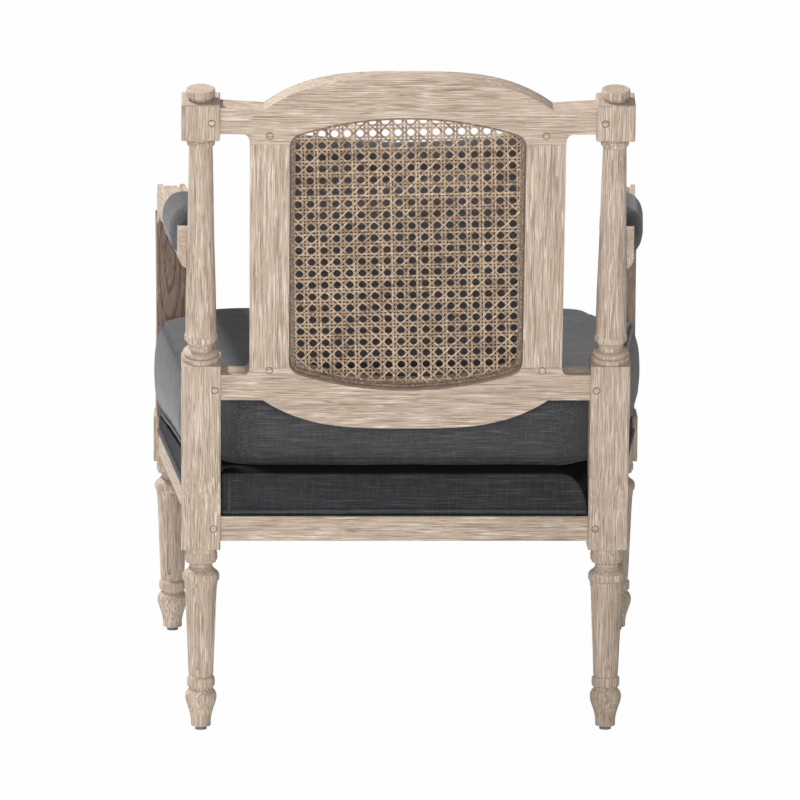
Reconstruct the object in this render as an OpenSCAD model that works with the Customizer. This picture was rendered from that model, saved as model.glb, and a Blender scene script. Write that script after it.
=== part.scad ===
// Cane-back armchair with turned posts, padded arms, a loose seat cushion and a loose back pillow.
// Lengths are in millimetres and angles in degrees. The chair faces -Y, +X is the sitter's left,
// and the origin is on the floor in the middle of the chair.

/* [Stance] */
// Distance between the centres of the rear posts
post_spacing = 519; // [480:1:560]
// Distance between the centres of the front legs
front_spacing = 598; // [570:1:640]
// Distance from the rear feet forward to the front legs
leg_depth = 522; // [480:1:560]
// Width of the square blocks on the legs and posts
block_w = 50; // [46:1:56]
// How far the bend of a rear post stands forward of its foot
post_kick = 15; // [8:1:22]
// Height of the bend in a rear post
bend_h = 303; // [295:1:320]
// Lean of the back from upright
back_rake = 10.5; // [8:0.5:13]

/* [Leg turning] */
// Length of the turned part of a leg, from the floor to its square block
turn_len = 237.5; // [220:0.5:244]
// Radius of a leg turning at its large bead
turn_r = 23.7; // [21:0.1:25]
// Radius of the round cutter of a flute
flute_r = 2.6; // [1.5:0.1:3.5]
// Number of flutes round a leg
flute_count = 4; // [3:1:8]
// Turn of the first flute from the side of the chair towards the back
flute_turn = 74; // [0:1:90]
// Thickness of a foot glide
glide_h = 5; // [3:0.5:8]
// Radius of a foot glide
glide_r = 7.5; // [5:0.5:11]

/* [Rear posts] */
// Length of the square part of a post above its bend
square_len = 189; // [180:1:200]
// Length along the post from its bend to the underside of its capital
capital_at = 493.4; // [480:0.1:505]
// Width of a capital block
capital_w = 48.4; // [44:0.1:50]
// Largest radius of the column turning
column_r = 24.3; // [21:0.1:25]
// Small flat cut along the edges of blocks
edge_ease = 1.6; // [0.8:0.1:2.4]
// Radius of a finial button
finial_r = 18.1; // [14:0.1:21]
// Height of a finial button
finial_h = 13.5; // [10:0.1:18]
// Radius of a finial pin
finial_pin_r = 5; // [3:0.5:7]
// Length of a finial pin
finial_pin_len = 12; // [8:1:13]

/* [Seat frame] */
// Height of the underside of the seat rails
rail_at = 249; // [245:1:256]
// Height of a seat rail
rail_h = 32; // [30:1:36]
// Thickness of a seat rail
rail_t = 28; // [22:1:32]
// Height of the top of the front leg blocks
front_block_top = 300; // [294:1:310]
// Distance of the rear rail in from the back of the posts
rear_rail_inset = 5; // [2:0.5:8]
// Distance of the front rail in from the front of the leg blocks
front_rail_inset = 3; // [1:0.5:6]
// Distance of a side rail in from the outer face of a front leg block
side_inset_front = 6.5; // [4:0.5:9]
// Distance of a side rail in from the outer face of a rear post
side_inset_rear = 15; // [12:0.5:18]

/* [Back frame] */
// Thickness of the crest, stiles and lower rail
back_t = 30; // [26:1:34]
// Half width of the cane opening
opening_half = 148; // [135:1:155]
// Width of a stile
stile_w = 50; // [44:1:54]
// Lowest point of the cane opening, along the back from the bend
opening_low = 152; // [148:1:160]
// Highest point of the cane opening
opening_high = 522; // [510:1:526]
// Radius of the bowed top and bottom of the opening
opening_bow_r = 440; // [380:5:600]
// Radius of the corners of the opening
opening_corner_r = 18; // [12:1:26]
// Place of the joint between lower rail and stiles
low_joint_at = 183.5; // [181:0.5:190]
// Place of the joint between stiles and crest
high_joint_at = 485.8; // [478:0.1:488]
// Underside of the lower rail at its ends
low_rail_at = 139; // [134:1:144]
// Height of the lower rail at its ends
low_rail_h = 34.2; // [30:0.1:38]
// Drop of the belly of the lower rail
belly_drop = 39; // [25:1:45]
// Underside of the crest at its ends
crest_at = 499.8; // [496:0.1:504]
// Height of the crest at its ends
crest_h = 35.4; // [30:0.1:38]
// Rise of the arch of the crest
arch_rise = 41.5; // [25:0.5:50]
// Half width of the arch and the belly
arch_half = 181; // [165:1:195]
// Width of the rebate that holds the cane
rebate_w = 7; // [5:0.5:9]
// Depth of the rebate from the back of the frame
rebate_deep = 14; // [10:0.5:18]

/* [Cane] */
// Thickness of the cane net
cane_t = 1.6; // [1:0.1:2.4]
// Number of net gaps across
gaps_across = 12; // [6:1:14]
// Number of net gaps up
gaps_up = 15; // [6:1:17]
// Width of the bead that holds the cane
spline_w = 5.6; // [4:0.1:6.5]
// Height of the bead that holds the cane
spline_h = 4.4; // [3:0.1:7]

/* [Arms] */
// Height of the top of an arm at its rear end
arm_rear_h = 661; // [645:1:672]
// Height of the top of the front scroll
arm_front_h = 611; // [596:1:626]
// Width of an arm
arm_w = 36; // [32:1:42]
// Depth of an arm below its top
arm_deep = 50; // [40:1:54]
// Radius of the rounded underside of an arm
arm_under_r = 14; // [8:1:15]
// Radius of the front scroll
scroll_r = 27; // [22:0.5:30]
// Width of an arm support
support_w = 41; // [32:1:44]
// Distance of an arm support in from the outer face of its leg block
support_inset = 3.5; // [1:0.5:7]
// Distance of an arm out from the middle of its post
arm_rear_out = 9; // [4:0.5:12]
// Depth of an arm support at its foot
support_deep = 46; // [38:1:48]
// Backward bow of an arm support
support_bow = 16; // [6:1:20]
// Length of an arm pad
pad_len = 215; // [180:5:260]
// Distance of an arm pad from the post
pad_gap = 34; // [24:1:60]
// Height of an arm pad above its arm
pad_rise = 25; // [18:1:32]
// Side bulge of an arm pad beyond its arm
pad_bulge = 9.5; // [6:0.5:14]
// Depth of the pad sides below the top of the arm
pad_skirt = 35; // [28:1:42]

/* [Upholstery] */
// Thickness of the fixed deck at the front
deck_front_t = 17; // [12:1:24]
// Thickness of the fixed deck at the back
deck_rear_t = 59; // [48:1:64]
// Height of the top seam of the seat cushion
cushion_seam_h = 434; // [425:1:450]
// Crown of the seat cushion above its seam
cushion_crown = 30; // [15:1:36]
// Bulge of the cushion sides
cushion_bulge = 12; // [6:1:14]
// Thickness of the back pillow
pillow_t = 112; // [90:1:120]
// Width of the back pillow
pillow_w = 384; // [340:1:400]
// Height of the back pillow
pillow_h = 320; // [290:1:335]

/* [Hidden] */

wood = "burlywood";
cloth = "dimgray";

// Gap between pieces that are fitted together
fit = 0.2;
// Gap between a soft form and what it rests on
soft_gap = 0.3;
// Extra length of a cutter past the face that it cuts
overrun = 4;
// How far the parts of one turned piece run into each other
join = 0.5;
round_fn = 64;
small_fn = 32;

post_x = post_spacing / 2;
front_x = front_spacing / 2;
half_block = block_w / 2;
axis_len = sqrt(post_kick * post_kick + bend_h * bend_h);
kick_angle = atan(post_kick / bend_h);
capital_top = capital_at + capital_w;

// The chair is centred from its front face to the back of the capitals
back_reach = (capital_top - edge_ease) * sin(back_rake) + capital_w / 2 * cos(back_rake) - post_kick;
column_at_arm = (arm_rear_h - arm_deep / 2 - bend_h) / cos(back_rake);
arm_x = front_x + half_block - support_inset - support_w / 2;
arm_depth = leg_depth - post_kick + column_at_arm * sin(back_rake);
arm_turn = atan((arm_x - post_x - arm_rear_out) / arm_depth);
front_reach = leg_depth + max(half_block, scroll_r * cos(arm_turn) + arm_w / 2 * sin(arm_turn));
foot_y = (front_reach - back_reach) / 2;
front_y = foot_y - leg_depth;
bend_y = foot_y - post_kick;

// Heights and radii of the turnings, as shares of their length and largest radius
leg_turning_shares = [[0.008, 0.51], [0.03, 0.54], [0.052, 0.54], [0.074, 0.57], [0.101, 0.637],
    [0.129, 0.73], [0.156, 0.819], [0.179, 0.852], [0.198, 0.827], [0.213, 0.751],
    [0.223, 0.65], [0.232, 0.65], [0.238, 0.726], [0.248, 0.755], [0.276, 0.755],
    [0.286, 0.726], [0.293, 0.65], [0.32, 0.675], [0.487, 0.743], [0.706, 0.823],
    [0.787, 0.865], [0.793, 0.89], [0.81, 0.89], [0.814, 0.928], [0.825, 0.987],
    [0.84, 1], [0.855, 0.983], [0.867, 0.907], [0.88, 0.738], [0.893, 0.629],
    [0.911, 0.62], [0.919, 0.81], [0.929, 0.81], [0.932, 0.869], [0.94, 0.89],
    [0.963, 0.89], [0.977, 0.852], [1, 0.852]];
column_shares = [[0, 0.97], [0.005, 1], [0.016, 1], [0.022, 0.955], [0.024, 0.856],
    [0.027, 0.856], [0.029, 0.914], [0.034, 0.942], [0.04, 0.926], [0.046, 0.844],
    [0.05, 0.658], [0.055, 0.626], [0.063, 0.626], [0.073, 0.675], [0.083, 0.757],
    [0.09, 0.823], [0.093, 0.86], [0.108, 0.86], [0.115, 0.84], [0.12, 0.807],
    [0.312, 0.778], [0.49, 0.716], [0.713, 0.667], [0.89, 0.626], [0.949, 0.605],
    [0.953, 0.642], [0.961, 0.72], [0.972, 0.737], [0.981, 0.683], [0.984, 0.626],
    [1, 0.626]];
finial_shares = [[0, 0.78], [0.2, 0.78], [0.22, 0.92], [0.28, 0.98], [0.36, 1],
    [0.86, 1], [0.96, 0.98], [1, 0.93]];
// Where the flutes start and end along a leg turning
flute_low_share = 0.345;
flute_high_share = 0.7;

// Tenons and the dowels of the hidden joints
tenon_len = 20;
tenon_t = 10;
dowel_r = 5;
dowel_len = 36;
plug_r = 4;
plug_deep = 5;
screw_r = 2;
screw_len = 26;
screw_head_r = 4;
screw_head_h = 3;

// Outline helpers
function lerp(a, b, t) = a + (b - a) * t;
function unit(v) = v / norm(v);
function curve(a, b, c, t) = (1 - t) * (1 - t) * a + 2 * t * (1 - t) * b + t * t * c;
function arc(x, y, r, from, to, steps) =
    [for (i = [0:steps]) let (a = lerp(from, to, i / steps)) [x + r * cos(a), y + r * sin(a)]];
// A polygon with each corner rounded over the length in its third value
function soften(p, steps) = [for (i = [0:len(p) - 1])
    let (q = [p[i][0], p[i][1]], before = p[(i + len(p) - 1) % len(p)], after = p[(i + 1) % len(p)],
        a = q + p[i][2] * unit([before[0], before[1]] - q),
        b = q + p[i][2] * unit([after[0], after[1]] - q))
    for (k = [0:steps]) curve(a, q, b, k / steps)];

// Frames of reference
module mirrored() {
    mirror([1, 0, 0]) children();
}
module at_rear_foot() {
    translate([post_x, foot_y, 0]) rotate([kick_angle, 0, 0]) children();
}
module at_front_foot() {
    translate([front_x, front_y, 0]) children();
}
// The plane of the back: X across, Y out of its rear face, Z up the rake from the bend
module on_back() {
    translate([0, bend_y, bend_h]) rotate([-back_rake, 0, 0]) children();
}
// An outline drawn across and up, made solid from one depth of the back to another
module slab(from, to) {
    translate([0, to, 0]) rotate([90, 0, 0]) linear_extrude(to - from) children();
}

// A turned form, run on into its neighbours at the top and bottom by a joining length
module turning(shares, length, radius, low_join, high_join) {
    first = shares[0];
    last = shares[len(shares) - 1];
    rotate_extrude($fn = round_fn)
        polygon(concat([[0, first[0] * length - low_join], [first[1] * radius, first[0] * length - low_join]],
            [for (s = shares) if (s[0] > first[0] && s[0] < last[0]) [s[1] * radius, s[0] * length]],
            [[last[1] * radius, last[0] * length + high_join], [0, last[0] * length + high_join]]));
}
// A box with its long edges and its ends eased
module eased_outline(w, h, ease) {
    polygon([[ease - w / 2, -h / 2], [w / 2 - ease, -h / 2], [w / 2, ease - h / 2], [w / 2, h / 2 - ease],
        [w / 2 - ease, h / 2], [ease - w / 2, h / 2], [-w / 2, h / 2 - ease], [-w / 2, ease - h / 2]]);
}
module eased_box(w, d, h, ease) {
    intersection() {
        translate([0, 0, -h / 2]) linear_extrude(h) eased_outline(w, d, ease);
        rotate([90, 0, 0]) translate([0, 0, -d / 2]) linear_extrude(d) eased_outline(w, h, ease);
        rotate([0, 90, 0]) translate([0, 0, -w / 2]) linear_extrude(w) eased_outline(h, d, ease);
    }
}

// Long grooves round the taper of a leg, with round ends
module flutes(turn) {
    low = flute_low_share * turn_len;
    high = flute_high_share * turn_len;
    low_r = lookup(flute_low_share, leg_turning_shares) * turn_r;
    high_r = lookup(flute_high_share, leg_turning_shares) * turn_r;
    tilt = atan((high_r - low_r) / (high - low));
    length = norm([high - low, high_r - low_r]);
    for (i = [0:flute_count - 1])
        rotate([0, 0, turn + i * 360 / flute_count]) translate([low_r, 0, low]) rotate([0, tilt, 0]) {
            cylinder(r = flute_r, h = length, $fn = small_fn);
            sphere(r = flute_r, $fn = small_fn);
            translate([0, 0, length]) sphere(r = flute_r, $fn = small_fn);
        }
}

// Square part of a rear post, bent from the line of the leg to the rake of the back
bend_reach = 1.2 * block_w;
block_steps = 10;
low_axis = [-sin(kick_angle), cos(kick_angle)];
high_axis = [sin(back_rake), cos(back_rake)];
function bend_centre(t) = curve(-bend_reach * low_axis, [0, 0], bend_reach * high_axis, t);
function bend_side(t) = let (d = unit(lerp(low_axis, high_axis, t))) [d[1], -d[0]];
function block_edge(side, grow) = concat(
    [-(axis_len - turn_len) * low_axis + side * (half_block + grow) * bend_side(0)],
    [for (i = [0:block_steps]) let (t = i / block_steps)
        bend_centre(t) + side * (half_block + grow) * bend_side(t)],
    [square_len * high_axis + side * (half_block + grow) * bend_side(1)]);
module post_block(grow) {
    half = half_block + grow;
    front = block_edge(-1, grow);
    rear = block_edge(1, grow);
    translate([post_x - half, bend_y, bend_h]) rotate([90, 0, 90])
        linear_extrude(2 * half)
            polygon(concat(front, [for (i = [len(rear) - 1:-1:0]) rear[i]]));
}
// Cutters that ease the long edges of a post block and of a leg block
module edge_cut(length) {
    rotate([0, 0, 45]) translate([-edge_ease / sqrt(2), -edge_ease / sqrt(2), 0])
        cube([edge_ease * sqrt(2), edge_ease * sqrt(2), length]);
}
module eased_post_block() {
    difference() {
        post_block(0);
        for (side_x = [-1, 1], side_y = [-1, 1]) {
            translate([post_x + side_x * half_block, bend_y, bend_h])
                rotate([-back_rake, 0, 0]) translate([0, side_y * half_block, 0])
                    edge_cut(square_len + overrun);
            translate([post_x, foot_y, 0]) rotate([kick_angle, 0, 0])
                translate([side_x * half_block, side_y * half_block, turn_len - overrun])
                    edge_cut(axis_len - turn_len + overrun);
        }
    }
}

module rear_leg() {
    difference() {
        union() {
            at_rear_foot() turning(leg_turning_shares, turn_len, turn_r, 0, join);
            eased_post_block();
            on_back() translate([post_x, 0, square_len])
                turning(column_shares, capital_at - square_len, column_r, join, join);
            on_back() translate([post_x, 0, capital_at + capital_w / 2])
                eased_box(capital_w, capital_w, capital_w, edge_ease);
        }
        translate([post_x, foot_y, 0]) cylinder(r = 2 * turn_r, h = glide_h, $fn = small_fn);
        at_rear_foot() flutes(flute_turn);
        on_back() translate([post_x, 0, capital_top - finial_pin_len - fit])
            cylinder(r = finial_pin_r + fit, h = finial_pin_len + fit + overrun, $fn = small_fn);
        crest_tenon(fit);
        low_rail_tenon(fit);
        rear_rail_tenon(fit);
        side_rail_tenon_rear(fit);
        arm_dowel(fit);
        plugs(fit);
    }
}

module finial() {
    color(wood) on_back() translate([post_x, 0, capital_top]) {
        turning(finial_shares, finial_h, finial_r, 0, 0);
        translate([0, 0, -finial_pin_len]) cylinder(r = finial_pin_r, h = finial_pin_len, $fn = small_fn);
    }
}

module front_leg() {
    top = front_block_top;
    difference() {
        union() {
            at_front_foot() turning(leg_turning_shares, turn_len, turn_r, 0, join);
            at_front_foot() translate([0, 0, (turn_len + top) / 2])
                eased_box(block_w, block_w, top - turn_len, edge_ease);
        }
        translate([front_x, front_y, 0]) cylinder(r = 2 * turn_r, h = glide_h, $fn = small_fn);
        at_front_foot() flutes(flute_turn);
        front_rail_tenon(fit);
        side_rail_tenon_front(fit);
        support_dowel(fit);
    }
}

// Foot glides under all four legs
module foot_glides() {
    color("gray") for (x = [-1, 1]) {
        translate([x * post_x, foot_y, 0]) cylinder(r = glide_r, h = glide_h, $fn = small_fn);
        translate([x * front_x, front_y, 0]) cylinder(r = glide_r, h = glide_h, $fn = small_fn);
    }
}

// Seat rails
rail_top = rail_at + rail_h;
rail_mid = rail_at + rail_h / 2;
tenon_h = 0.7 * rail_h;
// Rear face of a post at the level of the rails
post_y_at_rail = foot_y - post_kick * rail_mid / bend_h;
rear_rail_y = post_y_at_rail + half_block - rear_rail_inset;
front_rail_y = front_y - half_block + front_rail_inset;
side_front = [front_x + half_block - side_inset_front, front_y + half_block];
side_rear = [post_x + half_block - side_inset_rear, post_y_at_rail - half_block];
side_dir = unit(side_rear - side_front);
// A point at a depth of the seat, inward of the side rail's outer face by a length square to the rail
function side_at(y, inward) =
    [side_front[0] + ((y - side_front[1]) * side_dir[0] - inward) / side_dir[1], y];

module rear_rail_tenon(grow) {
    translate([post_x - half_block - overrun, rear_rail_y - rail_t / 2 - tenon_t / 2 - grow,
        rail_mid - tenon_h / 2 - grow])
        cube([tenon_len + overrun + grow, tenon_t + 2 * grow, tenon_h + 2 * grow]);
}
module rear_seat_rail() {
    length = post_spacing - block_w;
    color(wood) {
        difference() {
            translate([0, rear_rail_y - rail_t / 2, rail_mid])
                eased_box(length, rail_t, rail_h, edge_ease / 2);
            corner_screws(fit);
        }
        rear_rail_tenon(0);
        mirrored() rear_rail_tenon(0);
    }
}
module front_rail_tenon(grow) {
    translate([front_x - half_block - overrun, front_rail_y + rail_t / 2 - tenon_t / 2 - grow,
        rail_mid - tenon_h / 2 - grow])
        cube([tenon_len + overrun + grow, tenon_t + 2 * grow, tenon_h + 2 * grow]);
}
module front_seat_rail() {
    length = front_spacing - block_w;
    color(wood) {
        difference() {
            translate([0, front_rail_y + rail_t / 2, rail_mid])
                eased_box(length, rail_t, rail_h, edge_ease / 2);
            corner_screws(fit);
        }
        front_rail_tenon(0);
        mirrored() front_rail_tenon(0);
    }
}
module side_rail_piece(from, to, low, high, near, far) {
    a = side_at(from, near);
    b = side_at(to, near);
    c = side_at(to, far);
    d = side_at(from, far);
    translate([0, 0, low]) linear_extrude(high - low) polygon([a, b, c, d]);
}
module side_rail_tenon_front(grow) {
    side_rail_piece(side_front[1] - tenon_len - grow, side_front[1] + overrun,
        rail_mid - tenon_h / 2 - grow, rail_mid + tenon_h / 2 + grow,
        (rail_t - tenon_t) / 2 - grow, (rail_t + tenon_t) / 2 + grow);
}
module side_rail_tenon_rear(grow) {
    side_rail_piece(side_rear[1] - overrun, side_rear[1] + tenon_len - overrun / 2 + grow,
        rail_mid - tenon_h / 2 - grow, rail_mid + tenon_h / 2 + grow,
        (rail_t - tenon_t) / 2 - grow, (rail_t + tenon_t) / 2 + grow);
}
module side_seat_rail() {
    color(wood) {
        difference() {
            side_rail_piece(side_front[1], side_rear[1] + overrun, rail_at, rail_top, 0, rail_t);
            post_block(0);
            corner_screws(fit);
        }
        side_rail_tenon_front(0);
        side_rail_tenon_rear(0);
    }
}

// Blocks screwed into the corners of the seat frame
corner_reach = 1.9 * block_w;
corner_h = 0.8 * rail_h;
corner_clear = 1;
module corner_plan(rear) {
    way = rear ? -1 : 1;
    y = (rear ? rear_rail_y - rail_t : front_rail_y + rail_t) + way * fit;
    a = side_at(y, rail_t + fit);
    b = side_at(y + way * corner_reach, rail_t + fit);
    polygon([a, b, [a[0] - corner_reach, y]]);
}
module corner_block(rear) {
    difference() {
        translate([0, 0, rail_mid - corner_h / 2]) linear_extrude(corner_h) corner_plan(rear);
        post_block(corner_clear);
        translate([front_x, front_y, 0]) translate([-half_block - corner_clear, -half_block, 0])
            cube([block_w + 2 * corner_clear, block_w + corner_clear, front_block_top]);
        corner_screws(fit);
    }
}
module corner_blocks() {
    color("tan") {
        corner_block(true);
        corner_block(false);
        mirrored() corner_block(true);
        mirrored() corner_block(false);
    }
}
// Wood screws through the slope of each corner block into the rails
module one_screw(grow) {
    head_h = screw_head_h + (grow > 0 ? overrun : 0);
    translate([0, 0, -screw_head_h]) rotate([180, 0, 0])
        translate([0, 0, -screw_head_h]) cylinder(r = screw_head_r + grow, h = head_h, $fn = small_fn);
    cylinder(r = screw_r + grow, h = screw_len + grow, $fn = small_fn);
}
screw_in_share = 0.62;
module screw_pair(rear, grow) {
    y = rear ? rear_rail_y - rail_t : front_rail_y + rail_t;
    way = rear ? -1 : 1;
    a = side_at(y, rail_t);
    reach = screw_in_share * corner_reach;
    sink = 0.35 * corner_reach;
    translate([a[0] - reach, y + way * (corner_reach - reach - sink), rail_mid + corner_h / 5])
        rotate([rear ? -90 : 90, 0, 0]) one_screw(grow);
    s = side_at(y + way * reach, rail_t + corner_reach - reach - sink);
    translate([s[0], s[1], rail_mid - corner_h / 5])
        rotate([0, 90, 0]) one_screw(grow);
}
module corner_screws(grow) {
    for (rear = [true, false]) {
        screw_pair(rear, grow);
        mirrored() screw_pair(rear, grow);
    }
}

// Webbing stretched across the seat frame, with the cloth of the dust cover below
web_w = 50;
web_t = 1.5;
web_long = 4;
web_cross = 4;
web_in = 12;
dust_t = 1;
module seat_webbing() {
    back = rear_rail_y - rail_t + web_in;
    fore = front_rail_y + rail_t - web_in;
    color("peru") {
        for (i = [0:web_long - 1]) let (x = (i - (web_long - 1) / 2) * 2 * web_w)
            translate([x - web_w / 2, fore, rail_top]) cube([web_w, back - fore, web_t]);
        for (i = [1:web_cross]) let (y = lerp(fore, back, i / (web_cross + 1)),
                a = side_at(y - web_w / 2, rail_t - web_in), b = side_at(y + web_w / 2, rail_t - web_in))
            translate([0, 0, rail_top + web_t]) linear_extrude(web_t)
                polygon([[-a[0], a[1]], a, b, [-b[0], b[1]]]);
    }
}
module dust_cover() {
    edge = rail_t / 2;
    fore = front_rail_y + edge;
    back = rear_rail_y - edge;
    a = side_at(front_y + half_block + overrun, edge);
    b = side_at(side_rear[1] - overrun, edge);
    fore_x = front_x - half_block - overrun;
    back_x = post_x - half_block - overrun;
    color("black") translate([0, 0, rail_at - dust_t]) linear_extrude(dust_t)
        polygon([[-b[0], b[1]], [-back_x, b[1]], [-back_x, back], [back_x, back], [back_x, b[1]],
            [b[0], b[1]], [a[0], a[1]], [fore_x, a[1]], [fore_x, fore], [-fore_x, fore],
            [-fore_x, a[1]], [-a[0], a[1]]]);
}

// Fixed upholstered deck, thin at the front and thick at the back
module deck_outline() {
    f = side_at(front_rail_y, 0);
    r = side_at(rear_rail_y, 0);
    polygon([[-f[0], front_rail_y], [f[0], front_rail_y], [r[0], rear_rail_y], [-r[0], rear_rail_y]]);
}
web_top = rail_top + 2 * web_t;
module seat_deck() {
    color(cloth) difference() {
        intersection() {
            translate([0, 0, rail_top]) linear_extrude(deck_rear_t + deck_front_t) deck_outline();
            rotate([90, 0, 90]) translate([0, 0, -front_x - block_w]) linear_extrude(2 * (front_x + block_w))
                polygon([[front_rail_y, rail_top], [rear_rail_y, rail_top],
                    [rear_rail_y, rail_top + deck_rear_t], [front_rail_y, rail_top + deck_front_t]]);
        }
        seat_webbing_space();
        for (m = [0, 1]) mirror([m, 0, 0]) {
            post_block(soft_gap);
            translate([front_x - half_block - soft_gap, front_y - half_block - overrun, 0])
                cube([block_w + overrun, block_w + overrun + soft_gap, 2 * front_block_top]);
        }
    }
}
module seat_webbing_space() {
    back = rear_rail_y - rail_t + web_in + soft_gap;
    fore = front_rail_y + rail_t - web_in - soft_gap;
    f = side_at(fore, rail_t - web_in - soft_gap);
    r = side_at(back, rail_t - web_in - soft_gap);
    translate([0, 0, rail_top - overrun]) linear_extrude(overrun + 2 * web_t)
        polygon([[-f[0], fore], [f[0], fore], [r[0], back], [-r[0], back]]);
}

// Outline of the cane opening, grown outward by a length
function bow_corner(r, half) = sqrt(pow(r - opening_corner_r, 2) - pow(half - opening_corner_r, 2));
corner_up = bow_corner(opening_bow_r, opening_half);
corner_angle = atan2(corner_up, opening_half - opening_corner_r);
function opening(grow) = let (r = opening_bow_r + grow, c = opening_corner_r + grow,
        x = opening_half - opening_corner_r, top = opening_high - opening_bow_r,
        low = opening_low + opening_bow_r, n = 4, m = 16)
    concat(arc(x, top + corner_up, c, 0, corner_angle, n),
        arc(0, top, r, corner_angle, 180 - corner_angle, m),
        arc(-x, top + corner_up, c, 180 - corner_angle, 180, n),
        arc(-x, low - corner_up, c, 180, 180 + corner_angle, n),
        arc(0, low, r, 180 + corner_angle, 360 - corner_angle, m),
        arc(x, low - corner_up, c, 360 - corner_angle, 360, n));

back_rear = back_t / 2;
rebate_floor = back_rear - rebate_deep;
stile_out = opening_half + stile_w;
rail_end = post_x - half_block;
crest_end = post_x - capital_w / 2;
arch_power_share = 3.3;
arch_steps = 18;
ear = 9;
crest_dip = 3.5;
// The flattened arch of the crest and of the belly, from its end to its other end
function bulge(half, rise, base, way) = [for (i = [-arch_steps:arch_steps])
    let (share = sin(90 * i / arch_steps)) [half * share, base + way * rise * (1 - pow(abs(share), arch_power_share))]];
// The small hollow that leads from the end of a rail to its stile
function ear_curve(base, joint, side) = [for (i = [0:4])
    curve([side * (stile_out + ear), base], [side * stile_out, base], [side * stile_out, joint], i / 4)];
module crest_outline() {
    base = crest_at + crest_h;
    arch = bulge(arch_half, arch_rise, base - crest_dip, 1);
    polygon(concat([[-crest_end, crest_at], [-crest_end, base]], arch,
        [[crest_end, base], [crest_end, crest_at]],
        ear_curve(crest_at, high_joint_at, 1),
        [for (i = [4:-1:0]) ear_curve(crest_at, high_joint_at, -1)[i]]));
}
module low_rail_outline() {
    top = low_rail_at + low_rail_h;
    belly = bulge(arch_half, belly_drop, low_rail_at, -1);
    polygon(concat([[-rail_end, top], [-rail_end, low_rail_at]], belly,
        [[rail_end, low_rail_at], [rail_end, top]],
        ear_curve(top, low_joint_at, 1),
        [for (i = [4:-1:0]) ear_curve(top, low_joint_at, -1)[i]]));
}
// The opening and its rebate, cut through the frame of the back
module opening_cut() {
    slab(-back_t, back_t) polygon(opening(-rebate_w));
    slab(rebate_floor, back_t) polygon(opening(0));
}
crest_mid = crest_at + crest_h / 2;
low_rail_mid = low_rail_at + low_rail_h / 2;
back_tenon_h = 0.6 * crest_h;
module crest_tenon(grow) {
    on_back() translate([crest_end - overrun, -tenon_t / 2 - grow, crest_mid - back_tenon_h / 2 - grow])
        cube([tenon_len + overrun + grow, tenon_t + 2 * grow, back_tenon_h + 2 * grow]);
}
module low_rail_tenon(grow) {
    on_back() translate([rail_end - overrun, -tenon_t / 2 - grow, low_rail_mid - back_tenon_h / 2 - grow])
        cube([tenon_len + overrun + grow, tenon_t + 2 * grow, back_tenon_h + 2 * grow]);
}
stile_tenon_w = 0.5 * stile_w;
stile_tenon_t = 0.4 * (back_t - rebate_deep) + tenon_t / 8;
stile_tenon_y = -back_rear + (back_t - rebate_deep) / 2;
module stile_tenons(grow) {
    for (z = [[low_joint_at - tenon_len, low_joint_at + overrun], [high_joint_at - overrun, high_joint_at + tenon_len]])
        on_back() translate([opening_half + (stile_w - stile_tenon_w) / 2 - grow,
            stile_tenon_y - stile_tenon_t / 2 - grow, z[0] - grow])
            cube([stile_tenon_w + 2 * grow, stile_tenon_t + 2 * grow, z[1] - z[0] + 2 * grow]);
}
module crest_rail() {
    color(wood) {
        difference() {
            on_back() difference() {
                slab(-back_rear, back_rear) crest_outline();
                opening_cut();
            }
            stile_tenons(fit);
            mirrored() stile_tenons(fit);
            plugs(fit);
            mirrored() plugs(fit);
        }
        crest_tenon(0);
        mirrored() crest_tenon(0);
    }
}
module lower_back_rail() {
    color(wood) {
        difference() {
            on_back() difference() {
                slab(-back_rear, back_rear) low_rail_outline();
                opening_cut();
            }
            stile_tenons(fit);
            mirrored() stile_tenons(fit);
            plugs(fit);
            mirrored() plugs(fit);
        }
        low_rail_tenon(0);
        mirrored() low_rail_tenon(0);
    }
}
module back_stile() {
    color(wood) {
        on_back() difference() {
            translate([opening_half - rebate_w - overrun, -back_rear, low_joint_at])
                cube([stile_w + rebate_w + overrun, back_t, high_joint_at - low_joint_at]);
            opening_cut();
        }
        stile_tenons(0);
    }
}

// Cane net and the bead that holds its edge in the rebate
cane_in = 0.6;
gap_fn = 6;
cane_gap_share = 0.56;
module cane_panel() {
    pitch_x = 2 * (opening_half - rebate_w) / (gaps_across + 0.5);
    pitch_z = (opening_high - opening_low - 2 * rebate_w) / (gaps_up + 1.5);
    mid_z = (opening_high + opening_low) / 2;
    gap_r = cane_gap_share * min(pitch_x, pitch_z) / 2;
    color("sandybrown") on_back() slab(rebate_floor, rebate_floor + cane_t) difference() {
        polygon(opening(-cane_in));
        for (i = [0:gaps_across - 1], j = [0:gaps_up - 1])
            translate([(i - (gaps_across - 1) / 2) * pitch_x, mid_z + (j - (gaps_up - 1) / 2) * pitch_z])
                rotate(30) circle(r = gap_r, $fn = gap_fn);
    }
}
module cane_spline() {
    low = rebate_floor + cane_t;
    color("tan") on_back() {
        slab(low, low + spline_h / 2) difference() {
            polygon(opening(-cane_in));
            polygon(opening(-cane_in - spline_w));
        }
        slab(low + spline_h / 2, low + spline_h) difference() {
            polygon(opening(-cane_in - spline_w / 4));
            polygon(opening(-cane_in - spline_w * 3 / 4));
        }
    }
}

// Arms run from the column of the post to a scroll above the front leg
column_y_at_arm = front_y + arm_depth;
column_r_at_arm = column_r_at(column_at_arm);
arm_run = arm_depth / cos(arm_turn);
arm_slope = atan((arm_rear_h - arm_front_h) / arm_run);
arm_len = arm_run / cos(arm_slope);
arm_end_in = 0.65 * column_r_at_arm;
pad_start = arm_len - column_r_at_arm - pad_gap - pad_len;
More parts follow.
